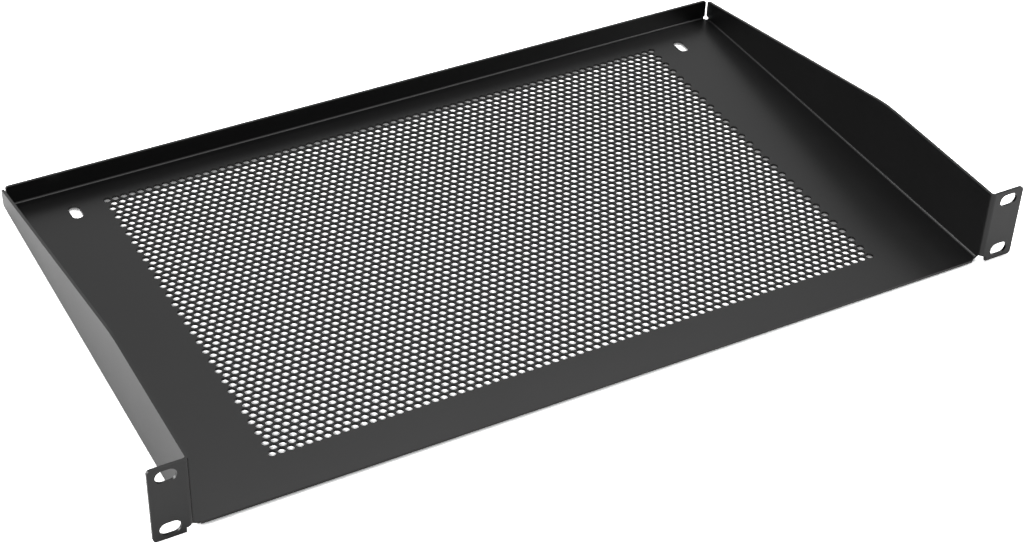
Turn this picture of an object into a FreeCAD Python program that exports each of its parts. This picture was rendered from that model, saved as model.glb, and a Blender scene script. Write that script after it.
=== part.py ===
import FreeCAD, Part
import math
import os
import Sketcher
from types import SimpleNamespace

# Cantilever rack shelf, one rack unit high, folded from one piece of perforated sheet steel.
# Frame in millimetres: X to the right, Y to the rear, Z up.
# The origin is the centre of the four ear slots, on the front face of the ears.

DIMENSIONS = {
    # ears
    "ear_width": 18.7,
    "panel_height": 43.66,
    "ear_corner": 2.0,
    "slot_side_inset": 8.74,
    "slot_end_inset": 5.955,
    "slot_length": 10.5,
    "slot_width": 7.3,
    # folded tray
    "sheet_gauge": 1.5,
    "bend_inside": 1.0,
    "body_width": 445.2,
    "shelf_depth": 270.9,
    "floor_rise": 0.3,
    "floor_setback": 1.65,
    "level_length": 94.5,
    "knee_radius": 100.0,
    "wall_rear_height": 12.5,
    "wall_end_setback": 1.3,
    "wall_corner": 0.8,
    "lip_height": 13.2,
    "lip_corner": 1.5,
    # round reliefs where three folds meet
    "relief_radius": 1.75,
    "relief_shift": 0.4,
    "notch_clearance": 1.2,
    # rear lashing slots
    "lash_length": 12.0,
    "lash_width": 6.0,
    "lash_side_inset": 32.9,
    "lash_rear_inset": 22.8,
    # perforated field, in staggered rows from front to rear
    "hole_diameter": 4.0,
    "hole_bridge": 0.75,
    "first_row": 29.1,
    "field_side_margin": 51.2,
    "field_rear_margin": 19.4,
}


class Size:
    """A number together with the sheet expression that gives it."""

    def __init__(self, text, number):
        self.text = text
        self.number = number

    def __add__(self, other):
        return Size("(%s + %s)" % (self.text, other.text), self.number + other.number)

    def __sub__(self, other):
        return Size("(%s - %s)" % (self.text, other.text), self.number - other.number)

    def __neg__(self):
        return Size("(0 - %s)" % self.text, -self.number)

    def __mul__(self, other):
        return Size("(%s * %s)" % (self.text, other.text), self.number * other.number)

    def __truediv__(self, other):
        return Size("(%s / %s)" % (self.text, other.text), self.number / other.number)

    def times(self, factor):
        return Size("(%s * %s)" % (self.text, factor), self.number * factor)

    def whole(self):
        """The size rounded down to a whole number."""
        return Size("floor(%s)" % self.text, math.floor(self.number))


doc = FreeCAD.newDocument("rack_shelf")

sheet = doc.addObject("Spreadsheet::Sheet", "Sizes")
for row, (name, number) in enumerate(DIMENSIONS.items(), start=1):
    sheet.set("A%d" % row, name)
    sheet.set("B%d" % row, str(number))
    sheet.setAlias("B%d" % row, name)
doc.recompute()

cell = SimpleNamespace(**{name: Size("Sizes." + name, number) for name, number in DIMENSIONS.items()})

# Heights and planes that several features share.
FRONT = Size("0", 0)
ONE = Size("1", 1)
TOP = cell.panel_height.times(0.5)
BOTTOM = -TOP
FLOOR_BOTTOM = BOTTOM + cell.floor_rise
FLOOR_TOP = FLOOR_BOTTOM + cell.sheet_gauge
WALL_REAR_TOP = FLOOR_BOTTOM + cell.wall_rear_height
LIP_TOP = FLOOR_BOTTOM + cell.lip_height
BEND_OUTSIDE = cell.bend_inside + cell.sheet_gauge
WALL_OUT = cell.body_width.times(0.5)
WALL_IN = WALL_OUT - cell.sheet_gauge
EAR_EDGE = WALL_OUT + cell.ear_width
LIP_OUT = cell.shelf_depth
LIP_IN = LIP_OUT - cell.sheet_gauge
WALL_END = LIP_OUT - cell.wall_end_setback

# The floor is flat between these fold lines. The lip ends on the side fold lines.
FOLD_SIDE = WALL_OUT - BEND_OUTSIDE
FOLD_REAR = LIP_OUT - BEND_OUTSIDE
FOLD_FRONT = FRONT + BEND_OUTSIDE

# The front notch takes in the whole width of the folds that meet there.
NOTCH_RADIUS = BEND_OUTSIDE + cell.notch_clearance

# A folded section overlaps the flat sheet that carries it by this much.
OVERLAP = cell.sheet_gauge.times(0.25)

# Holes stand at the corners of equal triangles, as many as the field has room for.
HOLE_PITCH = cell.hole_diameter + cell.hole_bridge
ROW_PITCH = HOLE_PITCH.times(math.sqrt(3) / 2)
FIELD_WIDTH = cell.body_width - cell.field_side_margin.times(2)
FIELD_DEPTH = cell.shelf_depth - cell.field_rear_margin - cell.first_row
HOLES = (FIELD_WIDTH / HOLE_PITCH).whole() + ONE
ROWS = (FIELD_DEPTH / ROW_PITCH).whole() + ONE

body = doc.addObject("PartDesign::Body", "Shelf")
body.Label = "shelf"


def plane(role):
    """Finds one of the body's origin planes or axes by its role."""
    for feature in body.Origin.OriginFeatures:
        if feature.Role == role:
            return feature
    raise ValueError(role)


def new_sketch(name, role, offset=FRONT):
    """Starts a sketch on an origin plane, moved along the plane's normal by offset."""
    sketch = body.newObject("Sketcher::SketchObject", name)
    sketch.AttachmentSupport = [(plane(role), "")]
    sketch.MapMode = "FlatFace"
    sketch.setExpression(".AttachmentOffset.Base.z", offset.text)
    return sketch


def bind(sketch, constraint, size):
    """Adds a dimension and ties it to the sheet."""
    index = sketch.addConstraint(constraint)
    sketch.setExpression("Constraints[%d]" % index, size.text)


def pin(sketch, geometry, point, u, v):
    """Holds a point at (u, v) from the sketch origin."""
    for kind, size, axis in (("DistanceX", u, -2), ("DistanceY", v, -1)):
        if size.number:
            bind(sketch, Sketcher.Constraint(kind, -1, 1, geometry, point, size.number), size)
        else:
            sketch.addConstraint(Sketcher.Constraint("PointOnObject", geometry, point, axis))


def polygon(sketch, corners):
    """Draws a closed outline of straight lines through pinned corners (u, v)."""
    spots = [FreeCAD.Vector(u.number, v.number, 0) for u, v in corners]
    lines = []
    for index, (u, v) in enumerate(corners):
        line = Part.LineSegment(spots[index], spots[(index + 1) % len(spots)])
        lines.append(sketch.addGeometry(line))
        pin(sketch, lines[-1], 1, u, v)
    for index, line in enumerate(lines):
        sketch.addConstraint(Sketcher.Constraint("Coincident", lines[index - 1], 2, line, 1))


def folded_outline(sketch, corners):
    """Draws a closed outline of level and upright lines, rounded where it is bent.

    Each corner is (u, v, radius), with radius None where it is sharp. Each line is tied
    to the sheet by its own distance from the sketch origin, and each arc by its radius.
    """
    count = len(corners)
    spots = [FreeCAD.Vector(u.number, v.number, 0) for u, v, radius in corners]
    radii = [radius.number if radius else 0 for u, v, radius in corners]
    lines = []
    for index, (u, v, radius) in enumerate(corners):
        after = (index + 1) % count
        along = (spots[after] - spots[index]).normalize()
        start = spots[index] + along * radii[index]
        end = spots[after] - along * radii[after]
        line = sketch.addGeometry(Part.LineSegment(start, end))
        lines.append(line)
        upright = abs(along.x) < abs(along.y)
        sketch.addConstraint(Sketcher.Constraint("Vertical" if upright else "Horizontal", line))
        kind, size, axis = ("DistanceX", u, -2) if upright else ("DistanceY", v, -1)
        if size.number:
            bind(sketch, Sketcher.Constraint(kind, -1, 1, line, 1, size.number), size)
        else:
            sketch.addConstraint(Sketcher.Constraint("PointOnObject", line, 1, axis))
    for index, (u, v, radius) in enumerate(corners):
        before = lines[index - 1]
        line = lines[index]
        if not radius:
            sketch.addConstraint(Sketcher.Constraint("Coincident", before, 2, line, 1))
            continue
        back = (spots[index - 1] - spots[index]).normalize()
        along = (spots[(index + 1) % count] - spots[index]).normalize()
        centre = spots[index] + (back + along) * radii[index]
        middle = centre - (back + along).normalize() * radii[index]
        ends = [spots[index] + back * radii[index], spots[index] + along * radii[index]]
        arc = sketch.addGeometry(Part.Arc(ends[0], middle, ends[1]))
        in_order = (sketch.getPoint(arc, 1) - ends[0]).Length < 1e-6
        first, last = (1, 2) if in_order else (2, 1)
        sketch.addConstraint(Sketcher.Constraint("Tangent", before, 2, arc, first))
        sketch.addConstraint(Sketcher.Constraint("Tangent", line, 1, arc, last))
        bind(sketch, Sketcher.Constraint("Radius", arc, radii[index]), radius)


def obround(sketch, u, v, length, width, upright=False):
    """Draws a slot with round ends about (u, v), level or upright."""
    reach = (length - width).times(0.5)
    centres = [(u, v - reach), (u, v + reach)] if upright else [(u - reach, v), (u + reach, v)]
    spots = [FreeCAD.Vector(a.number, b.number, 0) for a, b in centres]
    radius = width.times(0.5)
    along = (spots[1] - spots[0]).normalize()
    side = FreeCAD.Vector(-along.y, along.x, 0) * radius.number
    arcs = []
    for spot, way in ((spots[0], -1), (spots[1], 1)):
        arc = Part.Arc(spot - side * way, spot + along * radius.number * way, spot + side * way)
        arcs.append(sketch.addGeometry(arc))
    lines = [sketch.addGeometry(Part.LineSegment(spots[0] + side * way, spots[1] + side * way))
             for way in (-1, 1)]
    for arc, centre in zip(arcs, centres):
        pin(sketch, arc, 3, *centre)
    for line in lines:
        for end, arc in zip((1, 2), arcs):
            spot = sketch.getPoint(line, end)
            near = 1 if (sketch.getPoint(arc, 1) - spot).Length < 1e-6 else 2
            sketch.addConstraint(Sketcher.Constraint("Tangent", line, end, arc, near))
    bind(sketch, Sketcher.Constraint("Radius", arcs[0], radius.number), radius)


def circle(sketch, u, v, radius):
    """Draws a circle about (u, v)."""
    centre = FreeCAD.Vector(u.number, v.number, 0)
    ring = sketch.addGeometry(Part.Circle(centre, FreeCAD.Vector(0, 0, 1), radius.number))
    pin(sketch, ring, 3, u, v)
    bind(sketch, Sketcher.Constraint("Radius", ring, radius.number), radius)


def feature(kind, name, sketch, length, side="One side", backwards=False, refine=True):
    """Pads or pockets a sketch, and makes sure that it changed the solid the right way."""
    before = body.Shape.Volume if body.Tip else 0
    made = body.newObject("PartDesign::" + kind, name)
    made.Profile = sketch
    made.SideType = side
    made.Reversed = backwards
    made.Refine = refine
    made.setExpression("Length", length.text)
    doc.recompute()
    added = made.Shape.Volume - before
    if (added > 0) != (kind == "Pad") or abs(added) < 1e-3:
        raise ValueError("%s changed the volume by %.3f" % (name, added))
    return made


def mirrored(name, originals):
    """Repeats features on the other side of the middle plane."""
    mirror = body.newObject("PartDesign::Mirrored", name)
    mirror.Originals = originals
    mirror.MirrorPlane = (plane("YZ_Plane"), [""])
    body.Tip = mirror
    doc.recompute()


def repeated(name, original, spacing, count):
    """Repeats a feature towards the rear."""
    rows = body.newObject("PartDesign::LinearPattern", name)
    rows.Originals = [original]
    rows.Direction = (plane("Y_Axis"), [""])
    rows.Mode = "Spacing"
    rows.Refine = False
    rows.setExpression("Offset", spacing.text)
    rows.setExpression("Occurrences", count.text)
    body.Tip = rows
    doc.recompute()


def rounded(name, radius, spots):
    """Fillets the edges whose middles lie at the given spots."""
    base = body.Tip
    found = []
    for number, edge in enumerate(base.Shape.Edges, start=1):
        middle = edge.valueAt((edge.FirstParameter + edge.LastParameter) / 2)
        if any((middle - spot).Length < 1e-3 for spot in spots):
            found.append("Edge%d" % number)
    if len(found) != len(spots):
        raise ValueError("%s found %d edges of %d" % (name, len(found), len(spots)))
    fillet = body.newObject("PartDesign::Fillet", name)
    fillet.Base = (base, found)
    fillet.setExpression("Radius", radius.text)
    doc.recompute()


def spot(x, y, z):
    return FreeCAD.Vector(x.number, y.number, z.number)


def build_floor():
    """The flat floor, from its front edge to the rear fold line."""
    sketch = new_sketch("FloorOutline", "XY_Plane", FLOOR_BOTTOM)
    polygon(sketch, [(-FOLD_SIDE, cell.floor_setback), (FOLD_SIDE, cell.floor_setback),
                     (FOLD_SIDE, FOLD_REAR), (-FOLD_SIDE, FOLD_REAR)])
    feature("Pad", "Floor", sketch, cell.sheet_gauge)


def build_walls():
    """A wall folded up from each side of the floor, tapered towards the rear."""
    section = new_sketch("WallSection", "XZ_Plane", -FOLD_FRONT)
    root = FOLD_SIDE - OVERLAP
    folded_outline(section, [(root, FLOOR_BOTTOM, None), (WALL_OUT, FLOOR_BOTTOM, BEND_OUTSIDE),
                             (WALL_OUT, TOP, None), (WALL_IN, TOP, None),
                             (WALL_IN, FLOOR_TOP, cell.bend_inside), (root, FLOOR_TOP, None)])
    wall = feature("Pad", "Wall", section, WALL_END - FOLD_FRONT, backwards=True)
    mirrored("OtherWall", [wall])
    taper = new_sketch("WallTaper", "YZ_Plane")
    polygon(taper, [(cell.level_length, TOP), (WALL_END, WALL_REAR_TOP),
                    (LIP_OUT, WALL_REAR_TOP), (LIP_OUT, TOP)])
    feature("Pocket", "Taper", taper, cell.body_width.times(2), side="Symmetric")


def build_lip():
    """The low lip folded up along the rear of the floor."""
    section = new_sketch("LipSection", "YZ_Plane")
    root = FOLD_REAR - OVERLAP
    folded_outline(section, [(root, FLOOR_BOTTOM, None), (LIP_OUT, FLOOR_BOTTOM, BEND_OUTSIDE),
                             (LIP_OUT, LIP_TOP, None), (LIP_IN, LIP_TOP, None),
                             (LIP_IN, FLOOR_TOP, cell.bend_inside), (root, FLOOR_TOP, None)])
    feature("Pad", "Lip", section, FOLD_SIDE.times(2), side="Symmetric")


def build_ears():
    """A mounting ear folded outwards from the front of each wall."""
    section = new_sketch("EarSection", "XY_Plane", BOTTOM)
    root = FOLD_FRONT + OVERLAP
    folded_outline(section, [(WALL_IN, root, None), (WALL_IN, FRONT, BEND_OUTSIDE),
                             (EAR_EDGE, FRONT, None), (EAR_EDGE, cell.sheet_gauge, None),
                             (WALL_OUT, cell.sheet_gauge, cell.bend_inside), (WALL_OUT, root, None)])
    ear = feature("Pad", "Ear", section, cell.panel_height)
    mirrored("OtherEar", [ear])


def cut_reliefs():
    """Round reliefs on the crossing folds: a notch at each front corner, a hole at each rear one.

    The notch is a round hole in the flat sheet, so once folded it shows as an arc on the
    floor, on the ear and on the wall.
    """
    middle = WALL_OUT - BEND_OUTSIDE.times(0.5)
    depth = BEND_OUTSIDE + cell.floor_rise
    on_floor = new_sketch("NotchOnFloor", "XY_Plane", BOTTOM)
    circle(on_floor, middle, FRONT, NOTCH_RADIUS)
    on_ear = new_sketch("NotchOnEar", "XZ_Plane")
    circle(on_ear, middle, FLOOR_BOTTOM, NOTCH_RADIUS)
    on_wall = new_sketch("NotchOnWall", "YZ_Plane", WALL_OUT)
    circle(on_wall, FRONT, FLOOR_BOTTOM, NOTCH_RADIUS)
    notches = [feature("Pocket", "FloorNotch", on_floor, depth, backwards=True),
               feature("Pocket", "EarNotch", on_ear, BEND_OUTSIDE),
               feature("Pocket", "WallNotch", on_wall, BEND_OUTSIDE)]
    relief = new_sketch("RearRelief", "XY_Plane", FLOOR_BOTTOM)
    circle(relief, FOLD_SIDE + cell.relief_shift, FOLD_REAR + cell.relief_shift, cell.relief_radius)
    hole = feature("Pocket", "Relief", relief, BEND_OUTSIDE, backwards=True)
    mirrored("OtherReliefs", notches + [hole])


def cut_slots():
    """Two mounting slots in each ear, and a lashing slot near each rear corner of the floor."""
    ear_slots = new_sketch("EarSlots", "XZ_Plane")
    across = EAR_EDGE - cell.slot_side_inset
    up = TOP - cell.slot_end_inset
    for u in (-across, across):
        for v in (-up, up):
            obround(ear_slots, u, v, cell.slot_length, cell.slot_width)
    feature("Pocket", "MountingSlots", ear_slots, cell.sheet_gauge)
    lash_slots = new_sketch("LashSlots", "XY_Plane", FLOOR_BOTTOM)
    across = WALL_OUT - cell.lash_side_inset
    back = LIP_OUT - cell.lash_rear_inset
    for u in (-across, across):
        obround(lash_slots, u, back, cell.lash_length, cell.lash_width, upright=True)
    feature("Pocket", "LashingSlots", lash_slots, cell.sheet_gauge, backwards=True)


def round_corners():
    """The soft knee of each wall, and the rounded free corners of walls, lip and ears."""
    wall_middle = (WALL_IN + WALL_OUT).times(0.5)
    lip_middle = (LIP_IN + LIP_OUT).times(0.5)
    ear_middle = cell.sheet_gauge.times(0.5)
    sides = (-1, 1)
    rounded("Knees", cell.knee_radius,
            [spot(wall_middle.times(side), cell.level_length, TOP) for side in sides])
    rounded("WallCorners", cell.wall_corner,
            [spot(wall_middle.times(side), WALL_END, WALL_REAR_TOP) for side in sides])
    rounded("LipCorners", cell.lip_corner,
            [spot(FOLD_SIDE.times(side), lip_middle, LIP_TOP) for side in sides])
    rounded("EarCorners", cell.ear_corner,
            [spot(EAR_EDGE.times(side), ear_middle, level) for side in sides for level in (BOTTOM, TOP)])


def field_strip(name, kind, front, rear, holes=()):
    """Pads or pockets a strip of floor across the perforated field, with its holes left open."""
    half = (HOLES * HOLE_PITCH).times(0.5)
    sketch = new_sketch(name + "Outline", "XY_Plane", FLOOR_BOTTOM)
    polygon(sketch, [(-half, front), (half, front), (half, rear), (-half, rear)])
    for u, v in holes:
        circle(sketch, u, v, cell.hole_diameter.times(0.5))
    return feature(kind, name, sketch, cell.sheet_gauge, backwards=kind == "Pocket", refine=not holes)


def perforate():
    """The perforated field of the floor: full rows of holes, and between them rows one hole short.

    The field is opened as a window and laid again in one strip for each row, so that no face
    carries more than one row of holes. That keeps the solid quick to work with.
    """
    front = cell.first_row - ROW_PITCH.times(0.5)
    field_strip("Field", "Pocket", front, front + ROWS * ROW_PITCH)
    left = -((HOLES - ONE) * HOLE_PITCH).times(0.5)
    full_rows = ((ROWS + ONE).times(0.5)).whole()
    short_rows = (ROWS.times(0.5)).whole()
    for name, step, count in (("Full", 0, full_rows), ("Short", 1, short_rows)):
        middle = cell.first_row + ROW_PITCH.times(step)
        holes = [(left + HOLE_PITCH.times(place + step / 2), middle) for place in range(HOLES.number - step)]
        row_front = front + ROW_PITCH.times(step)
        row = field_strip(name + "Row", "Pad", row_front, row_front + ROW_PITCH, holes)
        repeated(name + "Rows", row, ROW_PITCH.times(2), count)


build_floor()
build_walls()
build_lip()
build_ears()
cut_reliefs()
cut_slots()
round_corners()
perforate()

for item in doc.Objects:
    if "Invalid" in item.State or "Error" in item.State:
        raise ValueError("%s failed" % item.Name)
shape = body.Shape
if shape.isNull() or not shape.isValid() or len(shape.Solids) != 1:
    raise ValueError("the shelf is not one valid solid")

os.makedirs("parts", exist_ok=True)
shape.exportStep(os.path.join("parts", body.Label + ".step"))
box = shape.BoundBox
print("shelf %.2f x %.2f x %.2f mm, volume %.0f mm3" % (box.XLength, box.YLength, box.ZLength, shape.Volume))
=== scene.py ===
import math

import bpy
from mathutils import Matrix, Vector


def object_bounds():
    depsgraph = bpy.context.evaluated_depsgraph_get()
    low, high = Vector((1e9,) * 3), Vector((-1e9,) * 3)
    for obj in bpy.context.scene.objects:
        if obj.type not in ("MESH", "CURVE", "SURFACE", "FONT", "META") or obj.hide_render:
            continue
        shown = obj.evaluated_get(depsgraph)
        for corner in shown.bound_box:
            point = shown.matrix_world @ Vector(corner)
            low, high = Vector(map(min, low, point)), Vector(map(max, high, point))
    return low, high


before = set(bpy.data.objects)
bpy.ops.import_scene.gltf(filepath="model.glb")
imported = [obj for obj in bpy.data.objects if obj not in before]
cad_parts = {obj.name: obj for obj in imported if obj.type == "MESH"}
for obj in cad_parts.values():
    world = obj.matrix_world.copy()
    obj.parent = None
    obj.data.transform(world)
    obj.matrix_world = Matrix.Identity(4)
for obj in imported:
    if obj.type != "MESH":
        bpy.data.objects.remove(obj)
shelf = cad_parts["shelf"]


def plain_box(bounds):
    """The two corners of a box as plain lists of numbers."""
    return [[round(float(value), 6) for value in corner] for corner in bounds]


bounds_before = plain_box(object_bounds())

# ---------------------------------------------------------------- settings

# Places and lengths are in metres, in the frame of the CAD.

# The coat. Its noise lies in object space, so a scale is about the number of features in a metre.
# The peel is the fine skin that the bump follows, and the gloss moves the roughness and the base.
PEEL_SCALE = 900.0
PEEL_DETAIL = 2.0
PEEL_STRENGTH = 0.10
PEEL_HEIGHT = 0.00005
GLOSS_SCALE = 30.0
GLOSS_DETAIL = 3.0
ROUGHNESS_LOW = 0.29
ROUGHNESS_HIGH = 0.33
COAT_DARK = (0.0012, 0.0012, 0.0013, 1.0)
COAT_LIGHT = (0.0022, 0.0022, 0.0023, 1.0)
COAT_IOR = 1.5

# The floor and its paper. The photo's background is clipped to white, so the paper is overexposed
# in the view and in reflections, and the view adds a faint even haze to it. The small gap under
# the sheet lets in the light that the photo shows through the rear holes.
FLOOR_SIZE = 40.0
FLOOR_GAP = 0.0012
PAPER_COLOUR = 0.85
PAPER_IN_VIEW = 2.4
PAPER_IN_GLOSS = 1.1
PAPER_HAZE = 0.22

# The studio around it: the level that lights matt surfaces, and the level seen and reflected.
STUDIO_COLOUR = (1.0, 1.0, 1.0, 1.0)
STUDIO_LIGHT = 0.22
STUDIO_SHOWN = 0.75

# Each lamp's name, place, aim, size along its two sides, and radiance.
LAMPS = (
    ("overhead", (0.15, 0.28, 1.0), (0.15, 0.28, 0.0), (1.0, 0.9), 2.6),
    ("front_right", (0.65, -0.35, 0.40), (0.2, 0.0, 0.0), (0.3, 0.3), 6.0),
    ("left", (-1.0, 0.48, 0.32), (-0.3, 0.25, 0.0), (0.8, 0.5), 9.0),
)

# The camera of the photo, solved from the sizes of the rack ears and the pitch of the holes.
EYE = Vector((-0.444172, -0.668875, 0.677165))
RIGHT = Vector((0.88268109, -0.46926172, 0.02583647))
FORWARD = Vector((0.37990077, 0.68006973, -0.62704112))
UP = RIGHT.cross(FORWARD)
SENSOR_WIDTH = 36.0
FOCAL_LENGTH = 76.324
SHIFT_X = 0.01623
SHIFT_Y = 0.02257

# ---------------------------------------------------------------- materials


def new_material(name):
    """An empty node material and its tree."""
    material = bpy.data.materials.new(name)
    material.use_nodes = True
    tree = material.node_tree
    tree.nodes.clear()
    return material, tree


def add_node(tree, kind, inputs=None, **settings):
    """A new node with these settings, and with these values of its unlinked inputs."""
    node = tree.nodes.new(kind)
    for name, value in settings.items():
        setattr(node, name, value)
    for socket, value in (inputs or {}).items():
        node.inputs[socket].default_value = value
    return node


def powder_coat():
    """Satin black powder coat: a dark base, a fine orange-peel skin and small changes of gloss."""
    material, tree = new_material("powder_coat")
    output = add_node(tree, "ShaderNodeOutputMaterial")
    coat = add_node(tree, "ShaderNodeBsdfPrincipled", {"IOR": COAT_IOR})
    place = add_node(tree, "ShaderNodeTexCoord")
    peel = add_node(tree, "ShaderNodeTexNoise", {"Scale": PEEL_SCALE, "Detail": PEEL_DETAIL})
    gloss = add_node(tree, "ShaderNodeTexNoise", {"Scale": GLOSS_SCALE, "Detail": GLOSS_DETAIL})
    gloss_range = add_node(
        tree, "ShaderNodeMapRange", {"To Min": ROUGHNESS_LOW, "To Max": ROUGHNESS_HIGH})
    tint = add_node(tree, "ShaderNodeValToRGB")
    tint.color_ramp.elements[0].color = COAT_DARK
    tint.color_ramp.elements[1].color = COAT_LIGHT
    bump = add_node(
        tree, "ShaderNodeBump", {"Strength": PEEL_STRENGTH, "Distance": PEEL_HEIGHT})

    link = tree.links.new
    link(place.outputs["Object"], peel.inputs["Vector"])
    link(place.outputs["Object"], gloss.inputs["Vector"])
    link(gloss.outputs["Fac"], gloss_range.inputs["Value"])
    link(gloss_range.outputs["Result"], coat.inputs["Roughness"])
    link(gloss.outputs["Fac"], tint.inputs["Fac"])
    link(tint.outputs["Color"], coat.inputs["Base Color"])
    link(peel.outputs["Fac"], bump.inputs["Height"])
    link(bump.outputs["Normal"], coat.inputs["Normal"])
    link(coat.outputs["BSDF"], output.inputs["Surface"])
    return material


def seen_level(tree, in_view, in_gloss):
    """A level: in_view for camera rays, in_gloss for reflected or let-through rays, and else 0."""
    path = add_node(tree, "ShaderNodeLightPath")
    either = add_node(tree, "ShaderNodeMath", operation="MAXIMUM")
    gloss = add_node(tree, "ShaderNodeMath", {1: in_gloss}, operation="MULTIPLY")
    view = add_node(tree, "ShaderNodeMath", {1: in_view}, operation="MULTIPLY_ADD")

    link = tree.links.new
    link(path.outputs["Is Glossy Ray"], either.inputs[0])
    link(path.outputs["Is Transmission Ray"], either.inputs[1])
    link(either.outputs[0], gloss.inputs[0])
    link(path.outputs["Is Camera Ray"], view.inputs[0])
    link(gloss.outputs[0], view.inputs[2])
    return view.outputs[0]


def white_paper(name, colour, in_view, in_gloss, haze):
    """Pale matt paper, brighter in the view and in reflections, so that its shadows stay faint."""
    material, tree = new_material(name)
    output = add_node(tree, "ShaderNodeOutputMaterial")
    matt = add_node(tree, "ShaderNodeBsdfDiffuse")
    lift = add_node(tree, "ShaderNodeMath", {1: colour}, operation="ADD")
    glow = add_node(tree, "ShaderNodeEmission")
    both = add_node(tree, "ShaderNodeAddShader")

    link = tree.links.new
    link(seen_level(tree, in_view - colour, in_gloss - colour), lift.inputs[0])
    link(lift.outputs[0], matt.inputs["Color"])
    link(seen_level(tree, haze, 0.0), glow.inputs["Strength"])
    link(matt.outputs["BSDF"], both.inputs[0])
    link(glow.outputs["Emission"], both.inputs[1])
    link(both.outputs["Shader"], output.inputs["Surface"])
    return material


coat = powder_coat()
for spot in shelf.material_slots:
    spot.material = coat

# ---------------------------------------------------------------- floor, world and lamps


def white_world(name, light, shown):
    """A white studio: it lights matt surfaces at light, and is seen and reflected at shown."""
    world = bpy.data.worlds.new(name)
    world.use_nodes = True
    tree = world.node_tree
    background = tree.nodes["Background"]
    background.inputs["Color"].default_value = STUDIO_COLOUR
    level = add_node(tree, "ShaderNodeMath", {1: light}, operation="ADD")
    tree.links.new(seen_level(tree, shown - light, shown - light), level.inputs[0])
    tree.links.new(level.outputs[0], background.inputs["Strength"])
    return world


def softbox(name, place, aim, size, radiance):
    """A rectangular lamp of even brightness that faces aim."""
    data = bpy.data.lights.new(name, "AREA")
    data.shape = "RECTANGLE"
    data.size, data.size_y = size
    data.energy = radiance * math.pi * size[0] * size[1]
    lamp = bpy.data.objects.new(name, data)
    lamp.location = place
    lamp.rotation_euler = (Vector(aim) - Vector(place)).to_track_quat("-Z", "Y").to_euler()
    bpy.context.scene.collection.objects.link(lamp)


floor_height = bounds_before[0][2] - FLOOR_GAP
bpy.ops.mesh.primitive_plane_add(size=FLOOR_SIZE, location=(0.0, 0.0, floor_height))
floor = bpy.context.active_object
floor.name = "floor"
floor.data.materials.append(
    white_paper("floor_paper", PAPER_COLOUR, PAPER_IN_VIEW, PAPER_IN_GLOSS, PAPER_HAZE))

bpy.context.scene.world = white_world("studio", STUDIO_LIGHT, STUDIO_SHOWN)

for lamp in LAMPS:
    softbox(*lamp)

# ---------------------------------------------------------------- camera

camera_data = bpy.data.cameras.new("camera")
camera_data.sensor_fit = "HORIZONTAL"
camera_data.sensor_width = SENSOR_WIDTH
camera_data.lens = FOCAL_LENGTH
camera_data.shift_x = SHIFT_X
camera_data.shift_y = SHIFT_Y
camera = bpy.data.objects.new("camera", camera_data)
bpy.context.scene.collection.objects.link(camera)
camera.matrix_world = Matrix((
    (RIGHT.x, UP.x, -FORWARD.x, EYE.x),
    (RIGHT.y, UP.y, -FORWARD.y, EYE.y),
    (RIGHT.z, UP.z, -FORWARD.z, EYE.z),
    (0.0, 0.0, 0.0, 1.0),
))
bpy.context.scene.camera = camera

bpy.context.scene.view_settings.view_transform = "Standard"
